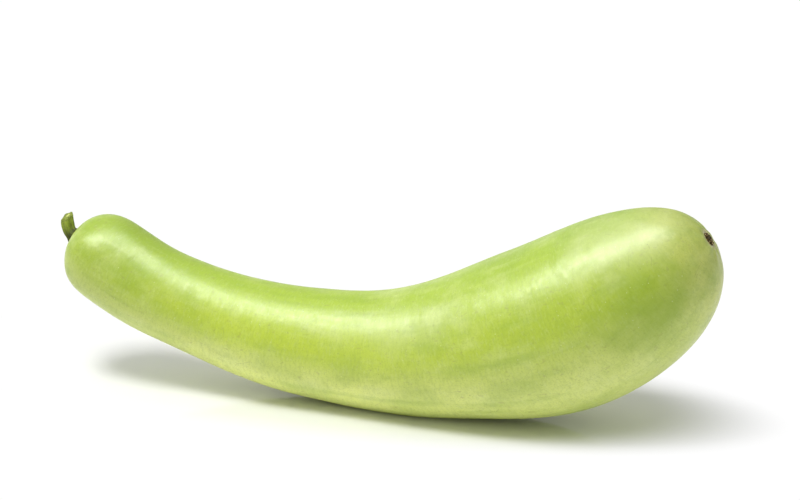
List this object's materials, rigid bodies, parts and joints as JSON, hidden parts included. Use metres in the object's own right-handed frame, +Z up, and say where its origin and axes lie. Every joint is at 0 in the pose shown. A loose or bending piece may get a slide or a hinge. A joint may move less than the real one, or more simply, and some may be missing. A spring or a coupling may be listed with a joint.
{
  "type": "bottle gourd",
  "caption": "Long curved bottle gourd with a slim neck, a swollen blossom end, a short ribbed stem and a dry blossom scar, lying on its belly.",
  "frame": {"origin": "middle of the flat spot on the belly that the gourd rests on", "axes": "+Z up, +X along the gourd from its stem end to its blossom end, -Y its outer side"},
  "size_m": [0.4308, 0.1084, 0.139],
  "materials": {
    "gourd_skin": "smooth waxy skin with a soft gloss",
    "green_stem": "matt, ribbed green stalk",
    "corky_scar": "dry brown cork"
  },
  "bodies": {
    "root": {"fruit": "gourd_skin", "stem": "green_stem", "blossom_scar": "corky_scar"}
  },
  "joints": []
}
